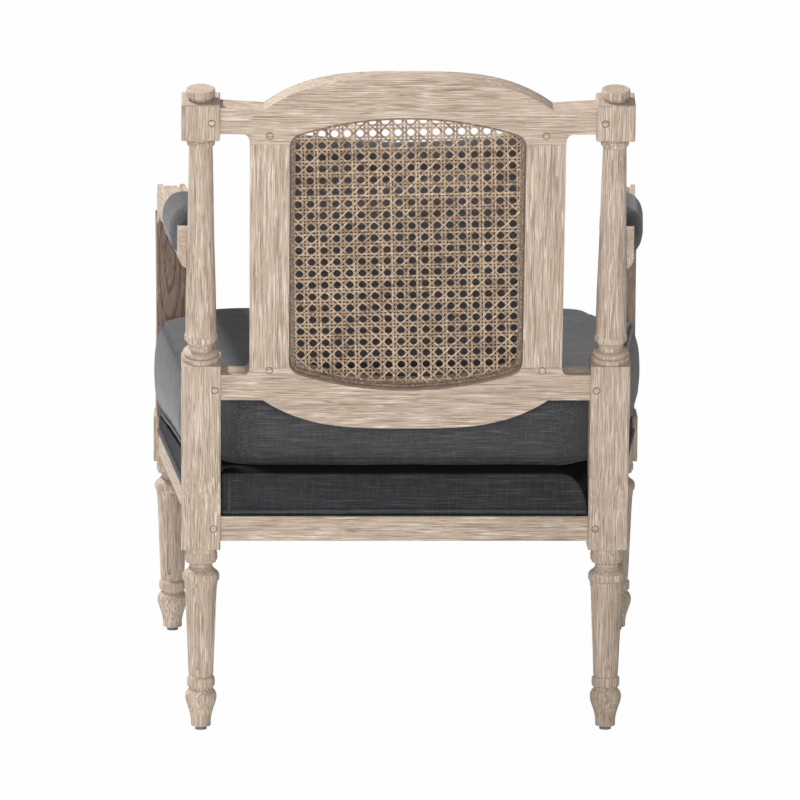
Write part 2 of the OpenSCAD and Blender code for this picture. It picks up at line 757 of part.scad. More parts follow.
// Level frame over the front leg that looks back to the post, and the sloping frame of the arm top
module on_arm_line() {
    translate([arm_x, front_y, 0]) rotate([0, 0, arm_turn]) children();
}
module on_arm() {
    on_arm_line() translate([0, 0, arm_front_h]) rotate([arm_slope, 0, 0]) children();
}
groove_r = 1.8;
bead_w = 6.5;
hollow_deep = 2.4;
// The quirks bite a little into the beads beside them
quirk_x = arm_w / 2 - bead_w - 0.85 * groove_r;
module arm_section() {
    half = arm_w / 2;
    polygon(concat([[-half, 0], [half, 0]],
        arc(half - arm_under_r, arm_under_r - arm_deep, arm_under_r, 0, -90, 8),
        arc(arm_under_r - half, arm_under_r - arm_deep, arm_under_r, -90, -180, 8)));
}
module arm_scroll() {
    translate([0, 0, -scroll_r]) rotate([0, 90, 0]) difference() {
        translate([0, 0, -arm_w / 2]) cylinder(r = scroll_r, h = arm_w, $fn = round_fn);
        // Hollow between the side beads, and a quirk beside each bead
        rotate_extrude($fn = round_fn) polygon([[scroll_r - hollow_deep, bead_w - arm_w / 2],
            [scroll_r + overrun, bead_w - arm_w / 2], [scroll_r + overrun, arm_w / 2 - bead_w],
            [scroll_r - hollow_deep, arm_w / 2 - bead_w]]);
        for (side = [-1, 1]) {
            translate([0, 0, side * quirk_x]) rotate_extrude($fn = round_fn)
                translate([scroll_r - hollow_deep, 0]) circle(r = groove_r, $fn = 16);
            // Turned rings on the side faces of the scroll
            for (ring = [1:2]) translate([0, 0, side * arm_w / 2]) rotate_extrude($fn = round_fn)
                translate([scroll_r * ring / 3, 0]) circle(r = groove_r, $fn = 16);
        }
    }
}
function column_r_at(s) = column_r * lookup((s - square_len) / (capital_at - square_len), column_shares);
module column_space(grow) {
    on_back() translate([post_x, 0, column_at_arm - arm_deep])
        cylinder(r1 = column_r_at(column_at_arm - arm_deep) + grow, r2 = column_r_at(column_at_arm + arm_deep) + grow,
            h = 2 * arm_deep, $fn = round_fn);
}
module arm() {
    color(wood) difference() {
        union() {
            on_arm() rotate([-90, 0, 0]) mirror([0, 1, 0]) linear_extrude(arm_len - column_r_at_arm + arm_end_in)
                arm_section();
            on_arm() arm_scroll();
        }
        // The mould of the scroll runs back along the top of the arm to the pad
        on_arm() translate([bead_w - arm_w / 2, -scroll_r - overrun, -hollow_deep])
            cube([arm_w - 2 * bead_w, scroll_r + overrun + pad_start + 2 * bead_w, hollow_deep + overrun]);
        on_arm() for (side = [-1, 1])
            translate([side * quirk_x, -groove_r, -hollow_deep]) rotate([-90, 0, 0])
                cylinder(r = groove_r, h = pad_start + bead_w, $fn = 16);
        column_space(fit);
        arm_dowel(fit);
        support_top_dowel(fit);
    }
}
module arm_dowel(grow) {
    on_arm() translate([0, arm_len - column_r_at_arm - dowel_len / 2 - grow, -arm_deep / 2]) rotate([-90, 0, 0])
        cylinder(r = dowel_r + grow, h = dowel_len + 2 * grow, $fn = small_fn);
}
// Arm supports: waisted and bowed backward between the leg block and the scroll
support_steps = 16;
support_waist_share = 0.72;
function support_half(t) = support_deep / 2 * (1 - (1 - support_waist_share) * sin(180 * t));
function support_mid(t) = support_bow * pow(sin(180 * t), 2);
support_top = arm_front_h - scroll_r;
module arm_support() {
    height = support_top - front_block_top;
    edge = [for (i = [0:support_steps]) i / support_steps];
    front = [for (t = edge) [support_mid(t) - support_half(t), front_block_top + t * height]];
    rear = [for (i = [support_steps:-1:0]) let (t = i / support_steps)
        [support_mid(t) + support_half(t), front_block_top + t * height]];
    color(wood) difference() {
        intersection() {
            on_arm_line() rotate([90, 0, 90]) translate([0, 0, -support_w / 2]) linear_extrude(support_w)
                polygon(concat(front, rear));
            on_arm_line() translate([0, 0, front_block_top]) linear_extrude(height)
                translate([0, support_bow / 2]) eased_outline(support_w, 2 * support_deep, 2 * edge_ease);
        }
        on_arm() translate([-arm_w, 0, -scroll_r]) rotate([0, 90, 0])
            cylinder(r = scroll_r + fit, h = 2 * arm_w, $fn = round_fn);
        on_arm() translate([-arm_w, 0, -arm_deep - fit]) cube([2 * arm_w, 2 * support_deep, arm_deep]);
        support_dowel(fit);
        support_top_dowel(fit);
    }
}
module support_dowel(grow) {
    on_arm_line() translate([0, 0, front_block_top - dowel_len / 2 - grow])
        cylinder(r = dowel_r + grow, h = dowel_len + 2 * grow, $fn = small_fn);
}
module support_top_dowel(grow) {
    on_arm_line() translate([0, 0, support_top - scroll_r - dowel_len / 2 - grow])
        cylinder(r = dowel_r + grow, h = dowel_len + 2 * grow, $fn = small_fn);
}
module joint_dowels() {
    color("tan") for (m = [0, 1]) mirror([m, 0, 0]) {
        arm_dowel(0);
        support_dowel(0);
        support_top_dowel(0);
    }
}

// Plugs over the screws of the frame, flush with the wood
plug_in_share = 0.22;
module back_plug(x, z, face, grow) {
    on_back() translate([x, face - plug_deep - grow, z]) rotate([-90, 0, 0])
        cylinder(r = plug_r + grow, h = plug_deep + grow + (grow > 0 ? overrun : 0), $fn = small_fn);
}
module plugs(grow) {
    back_plug(post_x - capital_w / 2 + plug_in_share * capital_w, crest_mid, capital_w / 2, grow);
    back_plug(post_x - half_block + plug_r + 2 * edge_ease, low_rail_mid, half_block, grow);
    back_plug(opening_half + stile_w / 2, low_joint_at - plug_r, back_rear, grow);
    back_plug(opening_half + stile_w / 2, high_joint_at + 3 * plug_r, back_rear, grow);
    at_rear_foot() translate([plug_r + 3 * edge_ease - half_block, half_block - plug_deep - grow,
        rail_mid]) rotate([-90, 0, 0])
        cylinder(r = plug_r + grow, h = plug_deep + grow + (grow > 0 ? overrun : 0), $fn = small_fn);
}
module wood_plugs() {
    color("tan") for (m = [0, 1]) mirror([m, 0, 0]) plugs(0);
}

// Soft forms are nets of rings: each ring is an outline drawn in by a share and set at a height
function ring_faces(n, rings) = concat(
    [for (k = [0:rings - 2], i = [0:n - 1]) let (j = (i + 1) % n)
        [k * n + i, (k + 1) * n + i, (k + 1) * n + j]],
    [for (k = [0:rings - 2], i = [0:n - 1]) let (j = (i + 1) % n)
        [k * n + i, (k + 1) * n + j, k * n + j]],
    [for (i = [0:n - 1]) [rings * n, i, (i + 1) % n]],
    [for (i = [0:n - 1]) [rings * n + 1, (rings - 1) * n + (i + 1) % n, (rings - 1) * n + i]]);

// Arm pad: a padded saddle over the arm, drawn in at its lower edges and ends
module arm_pad() {
    half = arm_w / 2 + soft_gap;
    wide = half + pad_bulge;
    outer = [[half + pad_bulge / 5, -pad_skirt], [half + 0.75 * pad_bulge, -0.7 * pad_skirt],
        [wide, -0.3 * pad_skirt], [wide - 0.05 * pad_bulge, 0.1 * pad_rise], [half + 0.62 * pad_bulge, 0.45 * pad_rise],
        [0.95 * half, 0.8 * pad_rise], [0.5 * half, 0.96 * pad_rise], [0, pad_rise]];
    inner = [[half, -pad_skirt], [half, -0.7 * pad_skirt], [half, -0.3 * pad_skirt], [half, -0.1 * pad_skirt],
        [half, soft_gap], [0.8 * half, soft_gap], [0.4 * half, soft_gap], [0, soft_gap]];
    stations = [[0, 0.55], [0.03, 0.84], [0.1, 0.97], [0.3, 1], [0.7, 1], [0.9, 0.97], [0.97, 0.84], [1, 0.55]];
    last = len(inner) - 1;
    function both(half_line) = concat(half_line, [for (i = [last - 1:-1:0]) [-half_line[i][0], half_line[i][1]]]);
    function section(f) = concat(both([for (i = [0:last]) lerp(inner[i], outer[i], f)]),
        let (line = both(inner)) [for (i = [2 * last:-1:0]) line[i]]);
    m = 4 * last + 2;
    top = len(stations) - 1;
    points = [for (s = stations) for (p = section(s[1])) [p[0], pad_start + s[0] * pad_len, p[1]]];
    faces = concat(
        [for (i = [0:2 * last - 1]) [i + 1, m - 1 - i, i]],
        [for (i = [0:2 * last - 1]) [i + 1, m - 2 - i, m - 1 - i]],
        [for (i = [0:2 * last - 1]) [top * m + i, top * m + m - 1 - i, top * m + i + 1]],
        [for (i = [0:2 * last - 1]) [top * m + m - 1 - i, top * m + m - 2 - i, top * m + i + 1]],
        [for (k = [0:top - 1], i = [0:m - 1]) let (j = (i + 1) % m) [k * m + j, k * m + i, (k + 1) * m + i]],
        [for (k = [0:top - 1], i = [0:m - 1]) let (j = (i + 1) % m) [k * m + j, (k + 1) * m + i, (k + 1) * m + j]]);
    color(cloth) on_arm() polyhedron(points, faces);
}

// Seat cushion: crowned on top, full at the sides, cut back at the front corners for the supports
cushion_side_out = 5;
cushion_rear_gap = 24;
cushion_clear = 6;
// Bulge of the rear of the cushion as a share of the bulge of its sides
rear_bulge_share = 0.25;
cushion_front = front_y - half_block + cushion_bulge;
cushion_rear = rear_rail_y - cushion_rear_gap;
cushion_notch_x = arm_x - support_w / 2 - cushion_bulge / 2 - cushion_clear;
cushion_notch_y = front_y + half_block + support_bow + cushion_clear + cushion_bulge / 2;
cushion_cut = 1.35 * block_w;
cushion_mid = (cushion_front + cushion_rear) / 2;
function deck_top(y) = rail_top + lerp(deck_front_t, deck_rear_t, (y - front_rail_y) / (rear_rail_y - front_rail_y));
cushion_corner = 0.5 * block_w;
function cushion_plan() = let (a = side_at(cushion_notch_y, -cushion_side_out),
        b = side_at(cushion_rear - 1.1 * cushion_cut, -cushion_side_out),
        half = [[cushion_notch_x, cushion_front, cushion_corner], [cushion_notch_x, cushion_notch_y, cushion_corner / 4],
            [a[0], a[1], cushion_corner / 2], [lerp(a, b, 0.5)[0], lerp(a, b, 0.5)[1], cushion_corner],
            [b[0], b[1], cushion_corner], [b[0] - cushion_cut, cushion_rear, cushion_corner]])
    soften(concat(half, [for (i = [len(half) - 1:-1:0]) [-half[i][0], half[i][1], half[i][2]]]), 3);
// Rings from the underside to the crown: drawn-in share, bulge share, height share, crown share
cushion_ring_shares = [[0.5, 0, 0, 0], [0.975, -0.3, 0, 0], [0.99, 0.1, 0.06, 0], [1, 0.75, 0.25, 0], [1, 1, 0.5, 0],
    [1, 0.8, 0.75, 0], [1, 0.15, 0.95, 0], [0.99, 0, 1, 0.02], [0.94, 0, 1, 0.33], [0.85, 0, 1, 0.6],
    [0.7, 0, 1, 0.8], [0.5, 0, 1, 0.93], [0.25, 0, 1, 0.99]];
module seat_cushion() {
    plan = cushion_plan();
    n = len(plan);
    rings = cushion_ring_shares;
    points = concat([for (s = rings) for (p = plan)
            let (d = p - [0, cushion_mid], bulge = p[1] > cushion_rear - cushion_corner ? rear_bulge_share : 1,
                w = [0, cushion_mid] + s[0] * d + bulge * s[1] * cushion_bulge * unit(d),
                low = deck_top(w[1]) + soft_gap)
            [w[0], w[1], lerp(low, cushion_seam_h, s[2]) + s[3] * cushion_crown]],
        [[0, cushion_mid, deck_top(cushion_mid) + soft_gap], [0, cushion_mid, cushion_seam_h + cushion_crown]]);
    color(cloth) polyhedron(points, ring_faces(n, len(rings)));
}

// Back pillow: leans on the frame of the back and stands on the crown of the seat cushion
pillow_corner = 0.6 * block_w;
pillow_gap = 2 * soft_gap;
pillow_on_crown_share = 0.595;
pillow_stand = cushion_seam_h + pillow_on_crown_share * cushion_crown;
pillow_y = -back_rear - pillow_gap - pillow_t / 2;
pillow_low = (pillow_stand - bend_h + pillow_y * sin(back_rake)) / cos(back_rake);
pillow_ring_shares = [[0.25, 0.985], [0.48, 0.92], [0.68, 0.78], [0.84, 0.56], [0.94, 0.33], [1, 0.07]];
function pillow_plan() = let (x = pillow_w / 2, z = pillow_h / 2, dip = 0.035)
    soften([[x, -z, pillow_corner], [x * (1 - dip), 0, pillow_corner], [x, z, pillow_corner],
        [0, z * (1 - 1.5 * dip), pillow_corner], [-x, z, pillow_corner], [x * (dip - 1), 0, pillow_corner],
        [-x, -z, pillow_corner], [0, z * (1.5 * dip - 1), pillow_corner]], 3);
module back_pillow() {
    plan = pillow_plan();
    n = len(plan);
    half = [for (s = pillow_ring_shares) s];
    count = len(half);
    rings = concat(half, [for (i = [count - 1:-1:0]) [half[i][0], -half[i][1]]]);
    points = concat([for (s = rings) for (p = plan) [s[0] * p[0], s[1] * pillow_t / 2, s[0] * p[1]]],
        [[0, pillow_t / 2, 0], [0, -pillow_t / 2, 0]]);
    color(cloth) on_back() translate([0, pillow_y, pillow_low + pillow_h / 2])
        polyhedron(points, ring_faces(n, len(rings)));
}

color(wood) rear_leg();  // rear_leg_left
color(wood) mirrored() rear_leg();  // rear_leg_right
finial();  // finial_left
mirrored() finial();  // finial_right
color(wood) front_leg();  // front_leg_left
color(wood) mirrored() front_leg();  // front_leg_right
front_seat_rail();
rear_seat_rail();
side_seat_rail();  // side_seat_rail_left
mirrored() side_seat_rail();  // side_seat_rail_right
crest_rail();
lower_back_rail();
back_stile();  // back_stile_left
mirrored() back_stile();  // back_stile_right
cane_panel();
cane_spline();
arm();  // arm_left
mirrored() arm();  // arm_right
arm_support();  // arm_support_left
mirrored() arm_support();  // arm_support_right
arm_pad();  // arm_pad_left
mirrored() arm_pad();  // arm_pad_right
corner_blocks();
color("silver") corner_screws(0);
wood_plugs();
joint_dowels();
foot_glides();
seat_webbing();
seat_deck();
dust_cover();
seat_cushion();
back_pillow();
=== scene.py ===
"""Looks of a cane-back armchair: limed wood, woven cane, charcoal cloth. Lengths are in metres."""
import math
import random

import bmesh
import bpy
import numpy as np
from mathutils import Matrix, Vector, noise
from mathutils.bvhtree import BVHTree
from mathutils.kdtree import KDTree


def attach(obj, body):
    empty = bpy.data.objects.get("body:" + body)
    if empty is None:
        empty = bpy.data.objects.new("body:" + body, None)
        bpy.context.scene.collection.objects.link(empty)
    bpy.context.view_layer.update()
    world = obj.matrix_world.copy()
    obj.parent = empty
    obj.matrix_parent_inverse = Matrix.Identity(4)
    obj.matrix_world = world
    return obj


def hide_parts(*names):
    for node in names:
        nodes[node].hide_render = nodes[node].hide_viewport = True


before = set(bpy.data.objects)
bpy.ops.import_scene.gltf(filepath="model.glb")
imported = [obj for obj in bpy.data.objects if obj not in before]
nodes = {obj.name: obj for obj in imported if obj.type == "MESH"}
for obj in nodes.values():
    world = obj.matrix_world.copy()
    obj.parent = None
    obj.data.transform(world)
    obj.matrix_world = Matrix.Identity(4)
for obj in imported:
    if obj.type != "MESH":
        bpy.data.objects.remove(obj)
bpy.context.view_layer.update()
scene = bpy.context.scene

# Sizes shared with the solids
RAKE = math.radians(10.5)
FOOT_Y = 0.221358
FRONT_Y = -0.300642
BEND_Y = 0.206358
BEND_Z = 0.303
BACK_T = 0.030
CANE_N = 0.0018
OPEN_HALF = 0.148
OPEN_LOW = 0.152
OPEN_HIGH = 0.522
OPEN_BOW = 0.440
OPEN_CORNER = 0.018
RAIL_TOP = 0.281
FRONT_RAIL_Y = -0.322642
REAR_RAIL_Y = 0.22824
DECK_FRONT = 0.017
DECK_REAR = 0.059
SEAM_Z = 0.434
CUSHION_MID_Y = -0.0547


def on_back(x, n, s):
    """A point of the raked back: across, out of its rear face, and up the rake from the bend."""
    return Vector((x, BEND_Y + n * math.cos(RAKE) + s * math.sin(RAKE),
                   BEND_Z - n * math.sin(RAKE) + s * math.cos(RAKE)))


def off_back(p):
    """The across, depth and height on the raked back of a point."""
    y, z = p[1] - BEND_Y, p[2] - BEND_Z
    return (p[0], y * math.cos(RAKE) - z * math.sin(RAKE), y * math.sin(RAKE) + z * math.cos(RAKE))


def deck_z(y):
    """Height of the top of the deck at a depth of the seat."""
    t = (y - FRONT_RAIL_Y) / (REAR_RAIL_Y - FRONT_RAIL_Y)
    return RAIL_TOP + DECK_FRONT + t * (DECK_REAR - DECK_FRONT)


# Camera
def place_camera():
    """The view of the photograph: from behind, a little above the seat, with a long lens."""
    f_px, size_px, sensor = 7785.99, 800, 36.0
    pitch, yaw, roll = math.radians(-12.44), math.radians(-1.36), math.radians(0.33)
    ahead = Vector((math.sin(yaw) * math.cos(pitch), -math.cos(yaw) * math.cos(pitch), math.sin(pitch)))
    right = ahead.cross(Vector((0, 0, 1))).normalized()
    up = right.cross(ahead)
    right2 = right * math.cos(roll) + up * math.sin(roll)
    up2 = up * math.cos(roll) - right * math.sin(roll)
    data = bpy.data.cameras.new("view")
    data.sensor_width = sensor
    data.lens = f_px * sensor / size_px
    data.clip_end = 60
    camera = bpy.data.objects.new("view", data)
    scene.collection.objects.link(camera)
    turn = Matrix((right2, up2, -ahead)).transposed().to_4x4()
    camera.matrix_world = Matrix.Translation((0.23588, 9.66648 + FOOT_Y, 2.56467)) @ turn
    scene.camera = camera


place_camera()


# Materials
class Val:
    """A socket of a material that can be added, multiplied and compared."""

    def __init__(self, shade, socket):
        self.shade, self.socket = shade, socket

    def math(self, kind, *others):
        node = self.shade.tree.nodes.new("ShaderNodeMath")
        node.operation = kind
        for i, value in enumerate((self, *others)):
            self.shade.feed(node.inputs[i], value)
        return Val(self.shade, node.outputs[0])

    def __add__(self, o): return self.math("ADD", o)
    def __radd__(self, o): return self.math("ADD", o)
    def __sub__(self, o): return self.math("SUBTRACT", o)
    def __mul__(self, o): return self.math("MULTIPLY", o)
    def __rmul__(self, o): return self.math("MULTIPLY", o)
    def __rsub__(self, o): return (self * -1).math("ADD", o)
    def __pow__(self, o): return self.math("POWER", o)
    def clamp(self): return self.math("MAXIMUM", 0.0).math("MINIMUM", 1.0)
    def step(self, low, high): return ((self - low) * (1 / (high - low))).clamp()
    def absolute(self): return self.math("ABSOLUTE")


class Shade:
    """A material and the nodes that make it."""

    def __init__(self, name, rough=0.6, metal=0.0):
        self.material = bpy.data.materials.new(name)
        self.material.use_nodes = True
        self.tree = self.material.node_tree
        self.shader = self.tree.nodes["Principled BSDF"]
        self.shader.inputs["Roughness"].default_value = rough
        self.shader.inputs["Metallic"].default_value = metal
        self.place = self.node("ShaderNodeTexCoord", out="Object")

    def feed(self, socket, value):
        if isinstance(value, Val):
            self.tree.links.new(value.socket, socket)
        else:
            socket.default_value = value

    def node(self, kind, settings=None, sockets=None, out=0):
        node = self.tree.nodes.new(kind)
        for key, value in (settings or {}).items():
            setattr(node, key, value)
        for key, value in (sockets or {}).items():
            self.feed(node.inputs[key], value)
        return Val(self, node.outputs[out])

    def noise(self, scale, detail=3.0, rough=0.55, shift=(0, 0, 0), warp=0.0):
        place = self.node("ShaderNodeMapping", None, {0: self.place, 1: shift, 3: scale})
        return self.node("ShaderNodeTexNoise", None, {"Vector": place, "Scale": 1.0, "Detail": detail,
                                                      "Roughness": rough, "Distortion": warp})

    def mix(self, factor, a, b):
        return self.node("ShaderNodeMix", {"data_type": "RGBA"}, {0: factor, 6: a, 7: b}, 2)

    def attribute(self, name):
        return self.node("ShaderNodeAttribute", {"attribute_name": name}, None, "Fac")

    def part(self, axis):
        return self.node("ShaderNodeSeparateXYZ", None, {0: self.place}, axis)

    def facing(self, axis):
        normal = self.node("ShaderNodeTexCoord", None, None, "Normal")
        return self.node("ShaderNodeSeparateXYZ", None, {0: normal}, axis).absolute()

    def finish(self, color, rough=None, height=None, depth=0.0005, strength=1.0):
        self.feed(self.shader.inputs["Base Color"], color)
        if rough is not None:
            self.feed(self.shader.inputs["Roughness"], rough)
        if height is not None:
            bump = self.node("ShaderNodeBump", None,
                             {"Strength": strength, "Distance": depth, "Height": height})
            self.feed(self.shader.inputs["Normal"], bump)
        return self.material


def rgb(r, g, b):
    """A colour given as it shows on a screen, 0 to 255."""
    return tuple(((c / 255 + 0.055) / 1.055) ** 2.4 if c > 10 else c / 255 / 12.92
                 for c in (r, g, b)) + (1.0,)


def limed_wood(name, along, shift=(0, 0, 0), deep=rgb(158, 138, 120), mid=rgb(179, 159, 142),
               light=rgb(211, 197, 180), dark=0.0, heart=None, raked=False):
    """Pale limed wood. along is the axis of its grain, heart the place of a cut through its growth rings,
    dark the share of painted shade, a deep brown laid over the whole piece.
    """
    s = Shade(name, 0.62)
    s.shader.inputs["Specular IOR Level"].default_value = 0.3
    if raked:
        # The grain follows the bend of the back
        depth = s.part(1) - (s.part(2) - BEND_Z).math("MAXIMUM", 0.0) * math.tan(RAKE)
        s.place = s.node("ShaderNodeCombineXYZ", None, {0: s.part(0), 1: depth, 2: s.part(2)})

    def grain(across, length, **more):
        scale = [across] * 3
        scale[along] = length
        return s.noise(tuple(scale), shift=shift, **more)

    broad = grain(20, 2.4, detail=3, warp=0.8)
    figure = grain(260, 6, detail=4, rough=0.7, warp=0.5)
    streak = grain(600, 16, detail=3, rough=0.65, warp=0.4)
    pore = grain(760, 26, detail=2, rough=0.5, warp=0.3)
    lime = grain(680, 24, detail=2, rough=0.5, warp=0.4)
    blotch = s.noise((26, 26, 26), detail=3, shift=shift)
    speck = s.noise((1500, 1500, 1500), detail=1, shift=shift)
    color = s.mix(figure.step(0.34, 0.66), deep, mid)
    color = s.mix(broad.step(0.38, 0.68) * 0.4, color, rgb(202, 180, 165))
    color = s.mix(streak.step(0.50, 0.66) * 0.75, color, light)
    color = s.mix(lime.step(0.55, 0.62) * blotch.step(0.3, 0.6) * 0.62, color, rgb(236, 226, 212))
    color = s.mix(pore.step(0.55, 0.63) * 0.6, color, rgb(112, 90, 72))
    color = s.mix(speck.step(0.5, 0.75) * 0.22, color, rgb(226, 214, 198))
    # Painted shade: the whole piece is darkened towards deep brown by the share dark
    if dark:
        color = s.mix(dark, color, rgb(92, 62, 42))
    if heart:
        wide, tall = s.part(0) - heart[0], s.part(2) - heart[1]
        away = ((wide * 150) ** 2.0 + (tall * 26) ** 2.0) ** 0.5
        rings = (away + figure * 0.6).math("MULTIPLY", 6.0).math("SINE")
        color = s.mix(rings.step(0.55, 0.95) * 0.5, color, rgb(58, 38, 26))
    height = streak * 0.5 + pore * -0.6 + figure * 0.4
    return s.finish(color, figure * 0.12 + 0.56, height, 0.0006, 0.5)


def plain_wood(name):
    s = Shade(name, 0.65)
    grain = s.noise((9, 160, 160), detail=4)
    return s.finish(s.mix(grain.step(0.35, 0.7), rgb(168, 132, 96), rgb(206, 172, 132)),
                    None, grain, 0.0003, 0.3)


def cloth(name, tone, pale, deep, sheen=0.18, painted_shade_top=False):
    """Plain woven cloth with slubs in both directions of its threads. lined paints its upward faces near
    black, as painted shade.
    """
    s = Shade(name, 0.93)
    s.shader.inputs["Specular IOR Level"].default_value = 0.18
    s.shader.inputs["Sheen Weight"].default_value = sheen
    s.shader.inputs["Sheen Roughness"].default_value = 0.5
    side = s.facing(0).step(0.55, 0.8)
    weft_back = s.noise((26, 620, 620), detail=2, rough=0.6)
    weft_side = s.noise((620, 26, 620), detail=2, rough=0.6, shift=(3, 1, 7))
    warp_back = s.noise((620, 30, 30), detail=2, rough=0.6, shift=(5, 9, 2))
    warp_side = s.noise((30, 620, 30), detail=2, rough=0.6, shift=(8, 4, 6))
    fine = s.noise((1100, 1100, 1100), detail=2, rough=0.7)
    soft = s.noise((9, 9, 9), detail=2)
    weft = weft_back + (weft_side - weft_back) * side
    warp = warp_back + (warp_side - warp_back) * side
    color = s.mix((weft * 0.62 + warp * 0.38).step(0.38, 0.62), deep, tone)
    color = s.mix(weft.step(0.57, 0.72) * 0.55, color, pale)
    color = s.mix(warp.step(0.60, 0.74) * 0.3, color, pale)
    color = s.mix(weft.step(0.34, 0.24) * 0.5, color, deep)
    color = s.mix(fine.step(0.42, 0.7) * 0.35, color, pale)
    color = s.mix(soft.step(0.35, 0.7) * 0.14, color, pale)
    # Painted shade: the faces turned upward are painted near black
    if painted_shade_top:
        color = s.mix(s.facing(2).step(0.45, 0.7), color, rgb(9, 9, 10))
    return s.finish(color, None, weft * 0.6 + warp * 0.4 + fine * 0.5, 0.0005, 0.6)


def cane_bark(name):
    """Split cane, each strand with its own tone."""
    s = Shade(name, 0.42)
    s.shader.inputs["Specular IOR Level"].default_value = 0.45
    tone = s.attribute("tone")
    stain = s.noise((38, 38, 38), detail=3, rough=0.7)
    fleck = s.noise((330, 330, 330), detail=3, rough=0.7, shift=(2, 5, 1))
    color = s.mix(tone, rgb(128, 104, 84), rgb(214, 189, 161))
    color = s.mix(stain.step(0.44, 0.68) * 0.5, color, rgb(112, 90, 74))
    color = s.mix(fleck.step(0.53, 0.68) * 0.7, color, rgb(236, 214, 188))
    color = s.mix(fleck.step(0.44, 0.34) * 0.75, color, rgb(72, 54, 42))
    return s.finish(color, 0.36 + stain * 0.25, fleck, 0.0002, 0.3)


def cane_cord(name):
    """The bead of split cane round the weave, speckled light and dark."""
    s = Shade(name, 0.5)
    fleck = s.noise((420, 420, 420), detail=3, rough=0.75)
    broad = s.noise((30, 30, 30), detail=2, shift=(3, 3, 3))
    color = s.mix(fleck.step(0.36, 0.62), rgb(62, 47, 37), rgb(158, 137, 117))
    color = s.mix(fleck.step(0.58, 0.70) * 0.7, color, rgb(214, 198, 178))
    color = s.mix(broad.step(0.4, 0.7) * 0.35, color, rgb(110, 90, 75))
    return s.finish(color, None, fleck, 0.0003, 0.5)


def plain(name, color, rough, metal=0.0, grain=0.0):
    s = Shade(name, rough, metal)
    if not grain:
        return s.finish(color)
    speck = s.noise((grain, grain, grain), detail=2)
    return s.finish(s.mix(speck * 0.3, color, rgb(20, 20, 20)), None, speck, 0.0002, 0.3)


wood_up = limed_wood("limed_wood_up", 2, raked=True)
wood_across = limed_wood("limed_wood_across", 0, (4, 2, 7))
wood_deep = limed_wood("limed_wood_front_to_back", 1, (1, 8, 3))
# Both arm supports carry painted shade; the left one at +X gets more, along with its cut growth rings
wood_shade = limed_wood("limed_wood_support_painted_shade", 2, (3, 3, 9), dark=0.42)
wood_heart_painted_shade = limed_wood("limed_wood_heart_painted_shade", 2, (3, 3, 9), dark=0.55, heart=(0.302, 0.512))
wood_plug = limed_wood("limed_wood_plug", 0, (7, 5, 2), deep=rgb(160, 140, 122), mid=rgb(200, 182, 164))
charcoal = cloth("charcoal_cloth", rgb(74, 74, 76), rgb(104, 104, 107), rgb(48, 48, 50))
# The deck: a darker copy of the cloth without sheen, its upward faces painted near black as painted shade
charcoal_deck = cloth("charcoal_cloth_deck", rgb(50, 50, 53), rgb(80, 80, 84), rgb(28, 28, 31),
                      sheen=0.0, painted_shade_top=True)
charcoal_cord = cloth("charcoal_piping", rgb(66, 66, 69), rgb(96, 96, 100), rgb(38, 38, 41))
bark = cane_bark("cane_bark")
WOODS = {
    wood_up: ("rear_leg_left", "rear_leg_right", "front_leg_left", "front_leg_right", "back_stile_left",
              "back_stile_right", "finial_left", "finial_right"),
    wood_heart_painted_shade: ("arm_support_left",),
    wood_shade: ("arm_support_right",),
    wood_across: ("crest_rail", "lower_back_rail", "rear_seat_rail", "front_seat_rail"),
    wood_deep: ("arm_left", "arm_right", "side_seat_rail_left", "side_seat_rail_right"),
    wood_plug: ("wood_plugs",),
    plain_wood("plain_wood"): ("corner_blocks", "joint_dowels"),
    cane_cord("cane_bead"): ("cane_spline",),
    plain("zinc_steel", rgb(150, 150, 148), 0.35, 1.0): ("corner_screws",),
    plain("glide_plastic", rgb(120, 120, 124), 0.5): ("foot_glides",),
    plain("jute_webbing", rgb(128, 104, 72), 0.9, grain=500): ("seat_webbing",),
    plain("black_lining", rgb(24, 24, 26), 0.95, grain=700): ("dust_cover",),
}


def paint(obj, material):
    obj.data.materials.clear()
    obj.data.materials.append(material)


for material, names in WOODS.items():
    for name in names:
        paint(nodes[name], material)


WELD_GAP = 0.00002
EDGE_WIDTH = 0.0009
EDGE_ANGLE = math.radians(42)


def ease_edges(name):
    """Softens the sharp edges of a wooden piece."""
    weld = nodes[name].modifiers.new("Weld", "WELD")
    weld.merge_threshold = WELD_GAP
    bevel = nodes[name].modifiers.new("Bevel", "BEVEL")
    bevel.width = EDGE_WIDTH
    bevel.segments = 2
    bevel.limit_method = "ANGLE"
    bevel.angle_limit = EDGE_ANGLE


for name in ("arm_left", "arm_right", "arm_support_left", "arm_support_right", "crest_rail",
             "back_stile_left", "back_stile_right", "rear_seat_rail", "side_seat_rail_left",
             "side_seat_rail_right"):
    ease_edges(name)


# Making pieces
def piece(name, bm, material, body, smooth=True):
    mesh = bpy.data.meshes.new(name)
    bm.to_mesh(mesh)
    bm.free()
    obj = bpy.data.objects.new(name, mesh)
    scene.collection.objects.link(obj)
    mesh.materials.append(material)
    mesh.polygons.foreach_set("use_smooth", [smooth] * len(mesh.polygons))
    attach(obj, body)
    return obj


def resample(points, step, closed=True):
    """Points along a line at an even step."""
    line = [Vector(p) for p in points] + ([Vector(points[0])] if closed else [])
    reach = [0.0]
    for a, b in zip(line, line[1:]):
        reach.append(reach[-1] + (b - a).length)
    count = max(3, round(reach[-1] / step))
    out, k = [], 0
    for i in range(count if closed else count + 1):
        d = reach[-1] * i / count
        while k < len(line) - 2 and reach[k + 1] < d:
            k += 1
        span = reach[k + 1] - reach[k]
        out.append(line[k].lerp(line[k + 1], (d - reach[k]) / span if span else 0))
    return out


